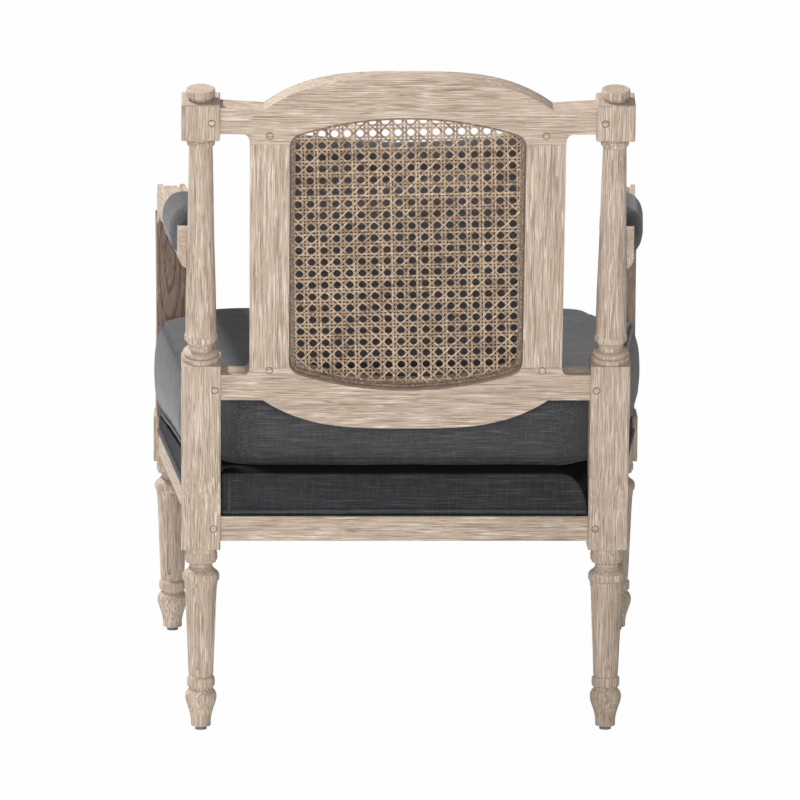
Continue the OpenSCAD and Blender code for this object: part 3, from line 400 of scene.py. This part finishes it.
def eased(points, rounds, closed=True):
    """The same line, smoothed."""
    for _ in range(rounds):
        n = len(points)
        points = [points[i] if not closed and i in (0, n - 1) else
                  points[i - 1] * 0.25 + points[i] * 0.5 + points[(i + 1) % n] * 0.25 for i in range(n)]
    return points


def tube(bm, points, radius, closed=True, sides=10):
    """A round cord along points."""
    n = len(points)
    side = None
    rings = []
    for i, p in enumerate(points):
        before = points[i - 1] if closed or i else points[0]
        after = points[(i + 1) % n] if closed or i < n - 1 else points[-1]
        ahead = (after - before).normalized()
        side = (ahead.orthogonal().normalized() if side is None
                else (side - ahead * side.dot(ahead)).normalized())
        up = ahead.cross(side)
        rings.append([bm.verts.new(p + (side * math.cos(a) + up * math.sin(a)) * radius)
                      for a in (2 * math.pi * k / sides for k in range(sides))])
    for i in range(n if closed else n - 1):
        a, b = rings[i], rings[(i + 1) % n]
        # The last ring of a closed cord is matched to the turn of the first
        turn = min(range(sides), key=lambda t: (a[0].co - b[t].co).length) if i == n - 1 else 0
        for k in range(sides):
            bm.faces.new((a[k], a[(k + 1) % sides], b[(k + 1 + turn) % sides], b[(k + turn) % sides]))
    if not closed:
        bm.faces.new(list(reversed(rings[0])))
        bm.faces.new(rings[-1])
    bmesh.ops.recalc_face_normals(bm, faces=bm.faces)


CLOTH_FRAMES = 20
CLOTH_QUALITY = 4
RIPPLE_BROAD = 11
RIPPLE_FINE = 31


def soften(name, source, body, voxel, shrink, pressure, cap, limit, stiff=15.0, ripple=0.0012,
           slack=0.35, material=None, shape=None):
    """A stuffed piece: the solid remeshed, blown up as cloth, kept clear of its neighbours, then smoothed.

    shrink draws the start in, cap is the furthest that a point may move, and slack the share kept of a
    move inward. shape changes the start, and limit keeps each point clear of what is near.
    """
    mesh = nodes[source].data.copy()
    mesh.name = name
    obj = bpy.data.objects.new(name, mesh)
    scene.collection.objects.link(obj)
    paint(obj, material or charcoal)
    remesh = obj.modifiers.new("Remesh", "REMESH")
    remesh.mode = "VOXEL"
    remesh.voxel_size = voxel
    apply_modifiers(obj)
    normals = vectors(obj, "normal")
    rest = vectors(obj, "co") - shrink * normals
    if shape:
        rest = np.array([shape(Vector(p)) for p in rest])
    move_points(obj, rest)
    cloth_mod = obj.modifiers.new("Cloth", "CLOTH")
    settings = cloth_mod.settings
    settings.quality = CLOTH_QUALITY
    settings.use_pressure = True
    settings.uniform_pressure_force = pressure
    settings.effector_weights.gravity = 0
    settings.tension_stiffness = stiff
    settings.compression_stiffness = stiff
    cloth_mod.point_cache.frame_start = 1
    cloth_mod.point_cache.frame_end = CLOTH_FRAMES
    for number in range(1, CLOTH_FRAMES + 1):
        scene.frame_set(number)
    shaped = obj.evaluated_get(bpy.context.evaluated_depsgraph_get()).data
    moved = np.empty(len(shaped.vertices) * 3)
    shaped.vertices.foreach_get("co", moved)
    obj.modifiers.remove(cloth_mod)
    scene.frame_set(1)
    step = moved.reshape(-1, 3) - rest
    outward = np.sum(step * normals, axis=1, keepdims=True)
    step -= normals * np.minimum(outward, 0) * (1 - slack)
    length = np.linalg.norm(step, axis=1, keepdims=True)
    rest = rest + step * np.minimum(1.0, cap / np.maximum(length, 1e-9))
    move_points(obj, [limit(Vector(p)) for p in rest])
    even = obj.modifiers.new("Even", "SMOOTH")
    even.factor = 0.5
    even.iterations = 3
    divide = obj.modifiers.new("Divide", "SUBSURF")
    divide.levels = divide.render_levels = 1
    apply_modifiers(obj)
    rippled = []
    for co, normal in zip(vectors(obj, "co"), vectors(obj, "normal")):
        p = Vector(co)
        swell = noise.noise(p * RIPPLE_BROAD) + 0.5 * noise.noise(p * RIPPLE_FINE)
        rippled.append(limit(p + Vector(normal) * ripple * swell))
    move_points(obj, rippled)
    obj.data.polygons.foreach_set("use_smooth", [True] * len(obj.data.polygons))
    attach(obj, body)
    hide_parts(source)
    return obj


def vectors(obj, what):
    """The places or the normals of a piece's points."""
    flat = np.empty(len(obj.data.vertices) * 3)
    obj.data.vertices.foreach_get(what, flat)
    return flat.reshape(-1, 3)


def move_points(obj, places):
    obj.data.vertices.foreach_set("co", np.asarray(places, dtype=float).ravel())
    obj.data.update()


def apply_modifiers(obj):
    shaped = obj.evaluated_get(bpy.context.evaluated_depsgraph_get())
    mesh = bpy.data.meshes.new_from_object(shaped)
    old = obj.data
    obj.modifiers.clear()
    obj.data = mesh
    bpy.data.meshes.remove(old)


def seam(name, obj, points, body, radius=0.0024, closed=True, sink=0.0022, reach=0.010, out=0.7, smooth=6):
    """Draws a piece in along a sewn line, by up to sink within reach, and lays a covered cord in it."""
    line = resample(points, 0.005, closed)
    tree = BVHTree.FromPolygons([v.co for v in obj.data.vertices], [p.vertices[:] for p in obj.data.polygons])
    hits = [tree.find_nearest(p) for p in line]
    line = eased([h[0] for h in hits], smooth, closed)
    normals = [h[1] for h in hits]
    near = KDTree(len(line))
    for i, p in enumerate(line):
        near.insert(p, i)
    near.balance()
    drawn = vectors(obj, "co")
    for i, (co, normal) in enumerate(zip(drawn, vectors(obj, "normal"))):
        d = near.find(co)[2]
        if d < reach:
            drawn[i] = co - normal * sink * (1 - d / reach) ** 2
    move_points(obj, drawn)
    bm = bmesh.new()
    tube(bm, [p + n * radius * out for p, n in zip(line, normals)], radius, closed)
    return piece(name, bm, charcoal_cord, body)


RIM_FROM_SHARE = 0.6


def ring_of(source, height, tolerance=0.0006):
    """The points of a solid at one height, in order round its middle."""
    found = {(round(v.co.x, 5), round(v.co.y, 5)) for v in nodes[source].data.vertices
             if abs(v.co.z - height) < tolerance}
    cy = CUSHION_MID_Y
    reach = max(math.hypot(x, y - cy) for x, y in found)
    rim = [(x, y) for x, y in found if math.hypot(x, y - cy) > RIM_FROM_SHARE * reach]
    return sorted(rim, key=lambda p: math.atan2(p[1] - cy, p[0]))


# Cane, woven six ways in its frame
def opening_top(x):
    """How far the top edge of the opening stands above the centre of its bow, at a distance across."""
    across = abs(x)
    corner_x = OPEN_HALF - OPEN_CORNER
    corner_up = math.sqrt((OPEN_BOW - OPEN_CORNER) ** 2 - corner_x ** 2)
    if across < OPEN_BOW * corner_x / (OPEN_BOW - OPEN_CORNER):
        return math.sqrt(OPEN_BOW ** 2 - across ** 2)
    return corner_up + math.sqrt(max(0.0, OPEN_CORNER ** 2 - (across - corner_x) ** 2))


def in_opening(x, s, inset):
    half = OPEN_HALF - inset
    if abs(x) >= half:
        return False
    top = opening_top(x * OPEN_HALF / half) - inset
    return OPEN_LOW + OPEN_BOW - top < s < OPEN_HIGH - OPEN_BOW + top


PITCH = 0.0159
PITCH_UP = 0.01572
TURN = math.radians(-1.3)
CANE_MID = (0.0008, 0.3327)
STRAND_WIDTH = 0.0025
SLANT_WIDTH = 0.0023
PAIR_SHARE = 0.135
STRAY_SHARE = 0.012
WAVE = 0.00042
SLANT_WAVE = 0.0009
SLANT_LIFT = 0.0007
SLANTS_HALF = 26
EDGE_INSET = 0.0008
draw = random.Random(7)


def lattice_point(u, v):
    """A point of the weave: u and v are counted in meshes from the middle."""
    x, s = u * PITCH, v * PITCH_UP
    return (CANE_MID[0] + x * math.cos(TURN) - s * math.sin(TURN),
            CANE_MID[1] + x * math.sin(TURN) + s * math.cos(TURN))


def strand(bm, tone, route, width, lift, thick=0.0007):
    """A flat strand over one way of the weave, where it lies inside the opening."""
    value = min(1.0, max(0.0, draw.gauss(0.45, 0.2)))
    runs, run = [], []
    for u, v in route:
        x, s = lattice_point(u, v)
        if in_opening(x, s, EDGE_INSET):
            run.append((x, s, CANE_N + lift(u, v)))
        elif run:
            runs.append(run)
            run = []
    runs.append(run)
    shape = ((-0.5, -0.1), (-0.28, 0.5), (0.28, 0.5), (0.5, -0.1), (0.25, -0.5), (-0.25, -0.5))
    for run in runs:
        if len(run) < 3:
            continue
        rings = []
        for i, (x, s, n) in enumerate(run):
            a, b = run[max(i - 1, 0)], run[min(i + 1, len(run) - 1)]
            ahead = Vector((b[0] - a[0], b[1] - a[1])).normalized()
            ring = []
            for across, up in shape:
                w = across * width
                vert = bm.verts.new(on_back(x - ahead.y * w, n + up * thick, s + ahead.x * w))
                mottle = noise.noise(Vector((x * 40, s * 40, value * 9)))
                vert[tone] = min(1.0, max(0.0, value + 0.16 * mottle))
                ring.append(vert)
            rings.append(ring)
        for a, b in zip(rings, rings[1:]):
            for k in range(6):
                bm.faces.new((a[k], b[k], b[(k + 1) % 6], a[(k + 1) % 6]))
        bm.faces.new(rings[0])
        bm.faces.new(list(reversed(rings[-1])))


def weave():
    """Pairs of upright and level strands, and single slanting strands through their crossings."""
    span_u, span_v, fine = 11, 14, 5
    squares = bmesh.new()
    tone = squares.verts.layers.float.new("tone")
    for i in range(-span_u, span_u + 1):
        for side in (-1, 1):
            u = i + side * PAIR_SHARE + draw.uniform(-STRAY_SHARE, STRAY_SHARE)
            route = [(u, k / fine) for k in range(-span_v * fine, span_v * fine + 1)]
            strand(squares, tone, route, STRAND_WIDTH,
                   lambda a, b, i=i, side=side: WAVE * side * math.cos(math.pi * (b * 2 + i)))
    for j in range(-span_v, span_v + 1):
        for side in (-1, 1):
            v = j + side * PAIR_SHARE + draw.uniform(-STRAY_SHARE, STRAY_SHARE)
            route = [(k / fine, v) for k in range(-span_u * fine, span_u * fine + 1)]
            strand(squares, tone, route, STRAND_WIDTH,
                   lambda a, b, j=j, side=side: -WAVE * side * math.cos(math.pi * (a * 2 + j)))
    slants = bmesh.new()
    tone = slants.verts.layers.float.new("tone")
    for way in (-1, 1):
        for k in range(-SLANTS_HALF, SLANTS_HALF + 1):
            route = []
            for m in range(-span_v * fine, span_v * fine + 1):
                v = m / fine
                route.append((k + 0.5 + way * v, v))
            strand(slants, tone, route, SLANT_WIDTH,
                   lambda a, b, way=way: SLANT_WAVE * way * math.cos(2 * math.pi * b) + SLANT_LIFT)
    return squares, slants


squares, slants = weave()
cane_squares = piece("cane_weave", squares, bark, "chair_frame")
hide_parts("cane_panel")
cane_slants = piece("cane_slants", slants, bark, "chair_frame")


# Soft pieces: where each may reach
CROWN_FROM = 0.004
CROWN_MOST = 0.024
LIFT_FROM = 0.034
LIFT_RUN = 0.014
LIFT_MOST = 0.0045
BACK_FACE_Z = 0.385
POST_X = 0.2315
SUPPORT_RUN = 0.048
SUPPORT_X = 0.2735
DECK_GAP = 0.0005
BACK_GAP = 0.0015
REAR_GAP = 0.012
POST_GAP = 0.0285


def cushion_limit(p):
    """Keeps the cushion on the deck, its crown low, and clear of the back, the posts and the arm supports."""
    lift = max(0.0, (p.y - FOOT_Y + LIFT_FROM) / LIFT_RUN)
    p.z = max(p.z, deck_z(p.y) + DECK_GAP + LIFT_MOST * lift * lift)
    crown = p.z - SEAM_Z - CROWN_FROM
    if crown > 0:
        p.z = SEAM_Z + CROWN_FROM + CROWN_MOST * (1 - math.exp(-crown / CROWN_MOST))
    up = (p.z - BEND_Z) * math.tan(RAKE)
    if p.z > BACK_FACE_Z:
        p.y = min(p.y, BEND_Y + up - BACK_T / 2 / math.cos(RAKE) - BACK_GAP)
    p.y = min(p.y, FOOT_Y - REAR_GAP)
    if abs(p.x) > POST_X:
        p.y = min(p.y, BEND_Y + max(up, 0) - POST_GAP)
    if p.y < FRONT_Y + SUPPORT_RUN:
        p.x = math.copysign(min(abs(p.x), SUPPORT_X), p.x)
    return p


DECK_SIDE_X = 0.2887
DECK_TAPER = 0.1045
DECK_SIDE_Y = (-0.268, 0.182)
DECK_FLAT = 0.006
SIDE_FLAT = 0.009
DECK_ABOVE_RAIL = 0.0003
DECK_PAST_RAIL = 0.0012
WORN_FROM_X = 0.196
WORN_FROM_Y = 0.16
WORN_WIDE = 0.0375
WORN_LONG = 0.068


def deck_limit(p):
    """Keeps the deck on its rails and its sides flat, with the rear corner at -X worn round."""
    p.z = RAIL_TOP + DECK_ABOVE_RAIL if p.z < RAIL_TOP + DECK_FLAT else p.z
    p.y = min(p.y, REAR_RAIL_Y + DECK_PAST_RAIL)
    if DECK_SIDE_Y[0] < p.y < DECK_SIDE_Y[1]:
        side = DECK_SIDE_X - DECK_TAPER * p.y
        if abs(p.x) > side - SIDE_FLAT:
            p.x = math.copysign(side, p.x)
    worn = (-p.x - WORN_FROM_X) / WORN_WIDE
    if worn > 0 and p.y > WORN_FROM_Y:
        low = DECK_REAR * (1 - math.sqrt(max(0.0, 1 - min(worn, 1) ** 2)))
        p.z = min(p.z, deck_z(p.y) - low * (p.y - WORN_FROM_Y) / WORN_LONG)
    return p


LEAN_OFF = 0.026
LEAN_TOP = 0.455
LEAN_RUN = 0.2
OPENING_INSET = 0.012
CANE_GAP = 0.0025
FRAME_GAP = 0.0006


def pillow_limit(p):
    """Keeps the pillow in front of the frame, or of the cane where it sinks into the opening.

    It leans on the crest and stands a little further off lower down.
    """
    x, n, s = off_back(p)
    off = LEAN_OFF * min(1.0, max(0.0, (LEAN_TOP - s) / LEAN_RUN))
    most = CANE_N - CANE_GAP - off
    if not in_opening(x, s, OPENING_INSET):
        most = min(most, -BACK_T / 2 - FRAME_GAP)
    if n > most:
        return on_back(x, most, s)
    return p


PILLOW_MID = 0.33
PILLOW_HALF = 0.16
PILLOW_UP = 0.017
PILLOW_DOWN = 0.007


def pillow_shape(p):
    """A little taller both ways than the solid, as the stuffing pushes it."""
    x, n, s = off_back(p)
    far = min(1.0, max(-1.0, (s - PILLOW_MID) / PILLOW_HALF))
    return on_back(x, n, s + (PILLOW_UP if s > PILLOW_MID else PILLOW_DOWN) * far)


PAD_END = 0.2135
PAD_ROUND = 0.024
PAD_MID_X = 0.2725
PAD_LOW_Z = 0.64
PAD_CURVE_SHARE = 0.75
PAD_NARROW_SHARE = 0.55
PAD_DROP_SHARE = 0.45
PAD_INNER_SHARE = 0.9


def pad_shape(p):
    """Rounds the rear end of a pad and keeps it close to its arm on the inner side."""
    end = min(1.0, max(0.0, (p.y - PAD_END + PAD_ROUND) / PAD_ROUND))
    draw_in = 1 - math.sqrt(1 - PAD_CURVE_SHARE * end * end)
    middle = math.copysign(PAD_MID_X, p.x)
    p.x += (middle - p.x) * draw_in * PAD_NARROW_SHARE
    if p.z > PAD_LOW_Z:
        p.z -= (p.z - PAD_LOW_Z) * draw_in * PAD_DROP_SHARE
    inner = abs(p.x) - PAD_MID_X
    if inner < 0:
        p.x = math.copysign(PAD_MID_X + inner * PAD_INNER_SHARE, p.x)
    return p


def as_is(p):
    return p


deck = soften("seat_deck_soft", "seat_deck", "chair_frame", voxel=0.006, shrink=0.0006, pressure=2.0,
              cap=0.004, limit=deck_limit, material=charcoal_deck)
cushion = soften("seat_cushion_soft", "seat_cushion", "seat_cushion_body", voxel=0.0065, shrink=0.002,
                 pressure=3.5, cap=0.010, limit=cushion_limit, slack=0.15)
soften("back_pillow_soft", "back_pillow", "back_pillow_body", voxel=0.006, shrink=0.001, pressure=4.0,
       cap=0.018, limit=pillow_limit, slack=0.15, shape=pillow_shape)
for side in ("left", "right"):
    soften(f"arm_pad_soft_{side}", f"arm_pad_{side}", "chair_frame", voxel=0.0028, shrink=0.0003,
           pressure=2.0, cap=0.0015, limit=as_is, shape=pad_shape)

# Piping of the deck and of the cushion
deck_face = REAR_RAIL_Y + 0.0015
seam("deck_piping_low", deck, [(x, deck_face, RAIL_TOP + 0.0065) for x in (-0.2325, -0.1, 0.1, 0.2325)],
     "chair_frame", 0.0022, closed=False, sink=0.0015, reach=0.007)
for side, way in (("right", -1), ("left", 1)):
    seam(f"deck_piping_{side}", deck,
         [(way * x, y, RAIL_TOP + 0.005) for x, y in ((0.3150, -0.252), (0.2704, 0.175))],
         "chair_frame", 0.0026, closed=False, sink=0.001, reach=0.006)
seam("deck_piping_side", deck, [(0.2235, deck_face, RAIL_TOP + z) for z in (0.008, 0.03, 0.052)],
     "chair_frame", 0.0018, closed=False, sink=0.001, reach=0.005)
rim = ring_of("seat_cushion", SEAM_Z)
seam("cushion_piping_top", cushion, [(x, y, SEAM_Z - 0.002) for x, y in rim], "seat_cushion_body")
seam("cushion_piping_bottom", cushion,
     [(0.99 * x, CUSHION_MID_Y + 0.99 * (y - CUSHION_MID_Y), deck_z(y) + 0.009) for x, y in rim],
     "seat_cushion_body")

# The fine dark joint round each plug: its place, and whether it is on the raked back
PLUG_JOINT_R = 0.0043
PLUG_JOINT_T = 0.00045
JOINT_STEPS = 28
PLUGS = ((0.2433, 0.2337, 0.2658, 0), (0.173, 0.2540, 0.4768, 1), (0.2417, 0.2597, 0.4520, 1),
         (0.24595, 0.3247, 0.8074, 1), (0.173, 0.3121, 0.7897, 1))
stain = plain("plug_joint", rgb(116, 90, 71), 0.9)
bm = bmesh.new()
for way in (-1, 1):
    for x, y, z, raked in PLUGS:
        tilt = RAKE * raked
        turns = [2 * math.pi * k / JOINT_STEPS for k in range(JOINT_STEPS)]
        ring = [Vector((way * x + PLUG_JOINT_R * math.cos(a),
                        y + PLUG_JOINT_R * math.sin(a) * math.sin(tilt),
                        z + PLUG_JOINT_R * math.sin(a) * math.cos(tilt))) for a in turns]
        tube(bm, ring, PLUG_JOINT_T, sides=6)
piece("plug_joints", bm, stain, "chair_frame")

# Floor, light and background
bm = bmesh.new()
bmesh.ops.create_grid(bm, x_segments=1, y_segments=1, size=30)
mesh = bpy.data.meshes.new("floor")
bm.to_mesh(mesh)
bm.free()
floor = bpy.data.objects.new("floor", mesh)
scene.collection.objects.link(floor)
ground = Shade("floor", 0.9)
seen = ground.node("ShaderNodeLightPath", None, None, "Is Camera Ray")
ground.finish(rgb(250, 250, 250))
glow = ground.node("ShaderNodeEmission", None, {"Color": rgb(254, 254, 254), "Strength": 1.0})
both = ground.node("ShaderNodeMixShader", None,
                   {0: seen * 0.993, 1: Val(ground, ground.shader.outputs[0]), 2: glow})
ground.tree.links.new(both.socket, ground.tree.nodes["Material Output"].inputs["Surface"])
paint(floor, ground.material)


def lamp(name, place, aim, size, power):
    data = bpy.data.lights.new(name, "AREA")
    data.shape = "DISK"
    data.size = size
    data.energy = power
    light = bpy.data.objects.new(name, data)
    scene.collection.objects.link(light)
    light.location = place
    light.rotation_euler = (Vector(aim) - Vector(place)).to_track_quat("-Z", "Y").to_euler()


lamp("key", (1.75, -1.0, 3.3), (0, 0, 0.5), 0.5, 142)
lamp("side", (3.2, 0.9, 0.9), (0, 0, 0.4), 1.2, 6)
lamp("fill", (0.1, 4.4, 1.5), (0, 0, 0.5), 1.6, 104)

world = bpy.data.worlds.new("studio")
scene.world = world
world.use_nodes = True
tree = world.node_tree
back = tree.nodes["Background"]
back.inputs["Color"].default_value = (1, 1, 1, 1)
path = tree.nodes.new("ShaderNodeLightPath")
level = tree.nodes.new("ShaderNodeMapRange")
level.inputs["To Min"].default_value = 0.27
level.inputs["To Max"].default_value = 1.0
tree.links.new(path.outputs["Is Camera Ray"], level.inputs["Value"])
tree.links.new(level.outputs["Result"], back.inputs["Strength"])
scene.view_settings.view_transform = "Standard"
